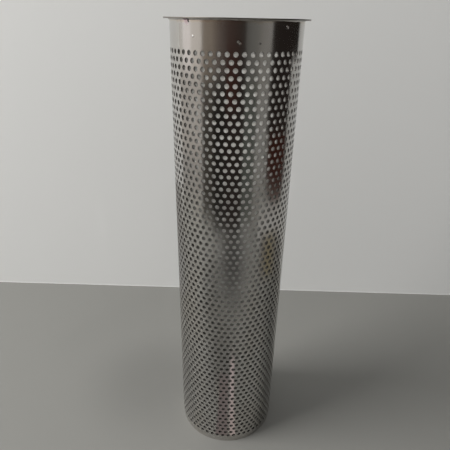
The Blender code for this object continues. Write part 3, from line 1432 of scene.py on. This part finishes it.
@dataclass(frozen=True)
class Window:
    """The large soft light.

    Attributes:
        place: Where it stands.
        target: What it points at.
        side: Its width and height.
        power: Its power in watts.
        colour: Its colour.
    """

    place: Place = (-2.36, -0.6, 2.6)
    target: Place = (0.0, 0.0, 0.2)
    side: float = 1.5
    power: float = 115.0
    colour: Colour = (1.0, 0.985, 0.96)

    def build(self) -> bpy.types.Object:
        """Makes the light.

        Returns:
            The light, in its place.
        """
        data = bpy.data.lights.new("window", "AREA")
        data.shape = "RECTANGLE"
        data.size = data.size_y = self.side
        data.energy = self.power
        data.color = self.colour
        return hang_light(data, self.place, self.target)


@dataclass(frozen=True)
class Beam:
    """A narrow soft light, which reflections don't show.

    Attributes:
        name: The light's name.
        place: Where it stands.
        target: What it points at.
        half_angle: Half the angle of its beam, in degrees.
        radius: Radius of its face.
        power: Its power in watts.
        colour: Its colour.
    """

    name: str
    place: Place
    target: Place
    half_angle: float
    radius: float
    power: float
    colour: Colour = (1.0, 0.99, 0.97)

    def build(self) -> bpy.types.Object:
        """Makes the light.

        Returns:
            The light, in its place.
        """
        data = bpy.data.lights.new(self.name, "SPOT")
        data.spot_size = math.radians(2 * self.half_angle)
        data.spot_blend = 0.8
        data.shadow_soft_size = self.radius
        data.energy = self.power
        data.color = self.colour
        light = hang_light(data, self.place, self.target)
        light.visible_glossy = False
        return light


@dataclass
class Studio:
    """The floor, the wall behind the basket, the lights and the camera.

    Attributes:
        floor_colour: Colour of the floor.
        wall_colour: Colour of the wall.
        paper_roughness: Roughness of both.
        wall_distance: Distance from the basket's axis to the wall.
        wall_height: Height of the wall.
        reach: Half the width of the floor and the wall.
        bend: Radius of the bend at the wall's foot.
        gap: Height of the wall's foot above the floor.
        sky_colour: Colour of the even light all round.
        sky_strength: Its strength.
        window: The large soft light.
        beams: The narrow lights on the mesh, from inside and through the holes.
        cards: What the steel reflects.
        painted_shadows: The soft shadows painted on the floor.
    """

    floor_colour: Colour = (0.202, 0.202, 0.191)
    wall_colour: Colour = (0.755, 0.76, 0.755)
    paper_roughness: float = 0.75
    wall_distance: float = 0.335
    wall_height: float = 2.2
    reach: float = 3.0
    bend: float = 0.6 * MM
    gap: float = 0.5 * MM
    sky_colour: Colour = (0.97, 0.96, 0.94)
    sky_strength: float = 0.47
    window: Window = Window()
    beams: tuple[Beam, ...] = (
        Beam("mouth_back", (0.0, 0.30, 1.04), (0.0, 0.0, 0.562), 4.9, 0.05, 20.0),
        Beam("mouth_deep", (0.006, 0.20, 1.15), (0.009, -0.067, 0.29), 2.1, 0.01, 105.0),
        Beam("mouth_front", (0.03, -0.35, 1.30), (0.0, 0.0, 0.562), 4.0, 0.04, 110.0),
        Beam("front_high", (-0.05, -1.85, 1.60), (0.005, -0.03, 0.485), 1.9, 0.04, 390.0),
        Beam("front_middle", (-0.10, -1.85, 1.50), (0.0, -0.03, 0.405), 1.6, 0.04, 330.0),
        Beam("front_right", (0.90, -1.60, 1.50), (0.024, -0.02, 0.435), 1.8, 0.04, 150.0),
    )
    cards: tuple[Card, ...] = (
        Card("pale_left_low", -112, -57, (1.05, 0.0), (1.05, 0.15), (0.35, 0.335, 0.315)),
        Card("pale_left_middle", -112, -57, (1.05, 0.15), (1.05, 0.42), (0.47, 0.445, 0.415)),
        Card("pale_left_high", -112, -98, (1.05, 0.42), (1.05, 1.5), (0.65, 0.63, 0.60)),
        Card("bright_left", -98, -80, (1.05, 0.42), (1.05, 1.5), (0.94, 0.90, 0.89)),
        Card("light_left_high", -80, -57, (1.05, 0.42), (1.05, 1.5), (0.73, 0.695, 0.66)),
        Card("brown_left_high", -56, -38, (0.90, 0.42), (0.90, 1.4), (0.25, 0.213, 0.178)),
        Card("umber_left_high", -38, -26, (0.88, 0.44), (0.88, 1.4),
             (0.22, 0.185, 0.155), (0.125, 0.102, 0.09)),
        Card("brown_left_low", -56, -36, (0.85, 0.0), (0.90, 0.42), (0.05, 0.045, 0.038)),
        Card("dusk_left_high", -26, -15, (0.82, 0.44), (0.82, 1.5),
             (0.12, 0.097, 0.086), (0.075, 0.057, 0.050)),
        Card("dark_front_left_low", -36, -15, (0.78, 0.0), (0.78, 0.44), (0.018, 0.016, 0.014)),
        Card("red_front", -14, 6, (0.76, 0.36), (0.76, 0.50),
             (0.050, 0.019, 0.015), (0.034, 0.016, 0.013)),
        Card("dark_front_high", -15, 16, (0.78, 0.49), (0.78, 1.5),
             (0.070, 0.050, 0.043), (0.034, 0.028, 0.025)),
        Card("dark_front", -15, 17, (0.78, 0.0), (0.78, 0.49), (0.025, 0.020, 0.018)),
        Card("grey_right_high", 16, 38, (0.95, 0.42), (0.95, 1.3),
             (0.115, 0.114, 0.108), (0.18, 0.177, 0.168)),
        Card("grey_right_low", 17, 38, (0.85, 0.0), (0.95, 0.42), (0.085, 0.090, 0.080)),
        Card("light_right_high", 38, 59, (1.02, 0.49), (1.05, 1.3),
             (0.195, 0.19, 0.18), (0.29, 0.28, 0.27)),
        Card("light_right", 38, 59, (1.0, 0.0), (1.02, 0.49), (0.23, 0.225, 0.21)),
        Card("dark_right", 59, 108, (0.88, 0.26), (1.0, 1.4), (0.020, 0.016, 0.014)),
        Card("red_right", 64, 110, (0.87, 0.12), (0.88, 0.26), (0.038, 0.013, 0.009)),
        Card("red_right_low", 68, 108, (0.87, 0.08), (0.87, 0.12), (0.042, 0.016, 0.011)),
        Card("red_right_tip", 76, 102, (0.87, 0.03), (0.87, 0.08), (0.060, 0.030, 0.022)),
        Card("dark_right_back", 100, 121, (0.50, 0.495), (0.50, 1.0), (0.018, 0.015, 0.013)),
        Card("light_right_foot", 52, 122, (0.70, 0.0), (0.70, 0.115), (0.36, 0.355, 0.34)),
        Card("grey_left_back", -152, -110, (0.36, 0.0), (0.36, 0.27), (0.30, 0.295, 0.28)),
        Card("pink_foot", 6, 14, (0.078, 0.001), (0.24, 0.003), (0.47, 0.40, 0.39)),
        Card("brown_foot", -15, 3, (0.078, 0.001), (0.20, 0.003), (0.20, 0.17, 0.165)),
        Card("straw_right", 60, 82, (0.50, 0.004), (0.68, 0.03),
             (0.165, 0.158, 0.145), (0.178, 0.152, 0.093)),
        Card("straw_right_edge", 82, 104, (0.50, 0.004), (0.68, 0.03),
             (0.178, 0.152, 0.093), (0.16, 0.155, 0.14)),
    )
    # Soft shadows painted into the floor's colour.
    painted_shadows: tuple[PaintedFloorShadow, ...] = (
        PaintedFloorShadow((0.04, -0.62), (0.42, 0.38), 0.75),
        PaintedFloorShadow((-0.26, -0.38), (0.26, 0.26), 0.38),
        PaintedFloorShadow((-0.05, -0.24), (0.18, 0.15), 0.38),
        PaintedFloorShadow((0.32, -0.03), (0.40, 0.20), 0.05),
        PaintedFloorShadow((0.14, -0.09), (0.14, 0.13), 0.01),
        PaintedFloorShadow((-0.13, 0.04), (0.15, 0.15), 0.18),
    )

    def build(self) -> None:
        """Sets up everything round the basket."""
        self._backdrop()
        for part in (*self.cards, self.window, *self.beams):
            part.build()
        self._world()
        self._camera()

    def _backdrop(self) -> None:
        """Lays the floor and stands the wall behind the basket."""
        straight = self.wall_distance - self.bend
        wall = [(straight, self.gap)]
        for step in range(1, 9):
            turn = math.pi / 2 * step / 8
            rise = self.bend * (1 - math.cos(turn))
            wall.append((straight + self.bend * math.sin(turn), rise + self.gap))
        wall.append((self.wall_distance, self.wall_height + self.gap))
        self._sheet("floor", [(-self.reach, 0.0), (self.reach, 0.0)], self._floor_paper())
        self._sheet("backdrop", wall, self._wall_paper())

    def _floor_paper(self) -> bpy.types.Material:
        """Makes the floor's material.

        Returns:
            Matt paper, with soft shadows painted into its colour.
        """
        bench = NodeBench("floor")
        colour = self.floor_colour
        for shade in self.painted_shadows:
            colour = shade.lay(bench, colour)
        bench.feed(bench.shader.inputs["Base Color"], colour)
        bench.shader.inputs["Roughness"].default_value = self.paper_roughness
        return bench.material

    def _wall_paper(self) -> bpy.types.Material:
        """Makes the wall's material.

        Returns:
            Matt paper that is clear from behind, so that it hides nothing there.
        """
        bench = NodeBench("backdrop")
        bench.shader.inputs["Base Color"].default_value = (*self.wall_colour, 1.0)
        bench.shader.inputs["Roughness"].default_value = self.paper_roughness
        clear = bench.add("ShaderNodeBsdfTransparent").outputs[0]
        behind = bench.add("ShaderNodeNewGeometry").outputs["Backfacing"]
        bench.surface(bench.layer(behind, bench.shader.outputs[0], clear))
        return bench.material

    def _sheet(self, name: str, profile: list[tuple[float, float]], paper: bpy.types.Material) -> None:
        """Makes a wide sheet of studio paper.

        Args:
            name: The sheet's name.
            profile: Depth and height of each line across it.
            paper: Its material.
        """
        corners = [(side, y, z) for y, z in profile for side in (-self.reach, self.reach)]
        faces = [(2 * k, 2 * k + 1, 2 * k + 3, 2 * k + 2) for k in range(len(profile) - 1)]
        mesh = bpy.data.meshes.new(name)
        mesh.from_pydata(corners, [], faces)
        mesh.shade_smooth()
        mesh.materials.append(paper)
        sheet = bpy.data.objects.new(name, mesh)
        bpy.context.scene.collection.objects.link(sheet)

    def _world(self) -> None:
        """Surrounds the basket with even pale light."""
        world = bpy.data.worlds.new("studio")
        world.use_nodes = True
        sky = world.node_tree.nodes["Background"]
        sky.inputs["Color"].default_value = (*self.sky_colour, 1.0)
        sky.inputs["Strength"].default_value = self.sky_strength
        scene = bpy.context.scene
        scene.world = world
        scene.view_settings.view_transform = "Standard"

    def _camera(self) -> None:
        """Places the camera at the photograph's angle."""
        focal_px, frame_px, sensor = 418.14, 450, 36.0
        centre_below_px = 15.4
        yaw, pitch, roll = math.radians(-0.902), math.radians(27.679), math.radians(1.159)
        eye = Vector((0.0, -0.4870, 0.5591))
        flat = math.cos(pitch)
        forward = Vector((math.sin(yaw) * flat, math.cos(yaw) * flat, -math.sin(pitch)))
        level = Vector((math.cos(yaw), -math.sin(yaw), 0.0))
        lift = level.cross(forward)
        right = level * math.cos(roll) + lift * math.sin(roll)
        up = lift * math.cos(roll) - level * math.sin(roll)
        data = bpy.data.cameras.new("camera")
        data.sensor_width = sensor
        data.lens = focal_px / frame_px * sensor
        data.shift_y = centre_below_px / frame_px
        data.clip_start = 0.02
        camera = bpy.data.objects.new("camera", data)
        axes = Matrix((right, up, -forward)).transposed()
        camera.matrix_world = Matrix.Translation(eye) @ axes.to_4x4()
        bpy.context.scene.collection.objects.link(camera)
        bpy.context.scene.camera = camera


@dataclass
class FilterBasket:
    """The whole basket, put together from its pieces, with its main sizes from the frame.

    Attributes:
        base_gap: Gap between the base disc and the tube, under the weld.
        rim_weld_leg: Leg of the weld under the rim.
        base_weld_leg: Leg of the weld on the base.
        seam_bottom: Height where the seam weld starts.
        seam_gap: How far below the rim it stops.
        mesh_gap: Gap between the tube's inside and the middle of the mesh.
        mesh_below_top: How far the sleeve stops below the tube's end.
        floor_lift: Height of the round of mesh above the base disc.
        sleeve_lift: Height of the sleeve's lower end above the base disc.
    """

    base_gap: float = 0.3 * MM
    rim_weld_leg: float = 1.35 * MM
    base_weld_leg: float = 2.2 * MM
    seam_bottom: float = 0.6 * MM
    seam_gap: float = 0.5 * MM
    mesh_gap: float = 0.8 * MM
    mesh_below_top: float = 3.0 * MM
    floor_lift: float = 0.6 * MM
    sleeve_lift: float = 1.1 * MM

    def build(self) -> None:
        """Builds every piece, dresses it and reports it."""
        wall_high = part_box("perforated_wall")[1]
        rim_low, rim_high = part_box("rim_ring")
        base_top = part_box("base_disc")[1].z
        tube = PunchedTube(outer_radius=wall_high.x, height=wall_high.z)
        wall_steel = SteelFinish(
            "bright rolled steel",
            rim_tint=Tint(reach=3.5 * MM, strength=0.22),
            rim_height=tube.height,
            seam_tint=Tint(reach=9.0 * MM, strength=0.45),
            spots=(
                Spot(-42.0, 559.4 * MM, 4.2 * MM, (0.60, 0.45, 0.50), 0.6),
                Spot(-40.0, 558.6 * MM, 1.5 * MM, (0.02, 0.015, 0.02), 1.0),
                # Painted highlight: a white patch on the raised knock, standing in for its glint.
                Spot(-35.5, 546.4 * MM, 1.0 * MM, (1.0, 1.0, 0.97), 1.0),
                Spot(18.5, 541.3 * MM, 1.0 * MM, (0.12, 0.12, 0.12), 0.7),
            ),
        ).build()
        burn = (
            Spot(-43.0, 560.0 * MM, 4.0 * MM, (0.26, 0.17, 0.20), 0.9),
            Spot(-40.0, 559.6 * MM, 1.7 * MM, (0.02, 0.015, 0.02), 1.0),
        )
        # The holes' cut walls: a duller, rougher sheared edge, whose darker colour also paints the shade
        # inside the holes.
        cut_edge_and_hole_shade_steel = SteelFinish(
            "punched edge steel with painted hole shade", colour=(0.24, 0.23, 0.22), warm=(0.18, 0.17, 0.16), roughness=0.5
        ).build()
        rim_steel = SteelFinish(
            "bright rim steel", roughness=0.20, tube_radius=rim_high.x, spots=burn[:1],
            cut_radius=rim_high.x - 0.1 * MM,
        ).build()
        base_steel = SteelFinish("plain base steel", roughness=0.24).build()
        weld_steel = WeldFinish("weld bead", spots=burn).build()

        self._dress(tube.build(), wall_steel, cut_edge_and_hole_shade_steel)
        seam = SeamWeld(tube.outer_radius, bottom=self.seam_bottom, top=rim_low.z - self.seam_gap)
        self._dress(seam.build(), weld_steel)
        rim = RimRing(
            inner_radius=tube.inner_radius, outer_radius=rim_high.x, top=rim_high.z,
            tube_top=tube.height, tube_radius=tube.outer_radius,
        )
        self._dress(rim.build(), rim_steel)
        rim_weld = RoundWeld(
            "rim_weld", tube.outer_radius, rim.top - rim.thickness, self.rim_weld_leg, 1, -1, Slot.RIM
        )
        self._dress(rim_weld.build(), weld_steel)
        base = BaseDisc(radius=tube.inner_radius - self.base_gap, thickness=base_top)
        self._dress(base.build(), base_steel, cut_edge_and_hole_shade_steel)
        base_weld = RoundWeld("base_weld", tube.inner_radius, base_top, self.base_weld_leg, -1, 1, Slot.BASE)
        self._dress(base_weld.build(), weld_steel)
        lining = MeshLining(
            radius=tube.inner_radius - self.mesh_gap, bottom=base_top + self.sleeve_lift,
            top=tube.height - self.mesh_below_top, floor=base_top + self.floor_lift,
        )
        self._dress(lining.sleeve(), WovenWire("woven wire lining", lining.radius).build())
        self._dress(lining.round_floor(), WovenWire("woven wire floor", 0.0).build())

    @staticmethod
    def _dress(piece: bpy.types.Object, *materials: bpy.types.Material) -> None:
        """Gives a piece its materials and reports it.

        Args:
            piece: The piece.
            materials: Its materials, that of its skins first.
        """
        for material in materials:
            piece.data.materials.append(material)
        triangles = sum(len(face.vertices) - 2 for face in piece.data.polygons)
        log.info("%s: %d triangles, %s", piece.name, triangles, materials[0].name)


def main() -> None:
    """Builds the basket and its studio."""
    logging.basicConfig(level=logging.INFO, format="%(name)s: %(message)s")
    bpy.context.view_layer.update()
    FilterBasket().build()
    Studio().build()


if __name__ == "__main__":
    main()
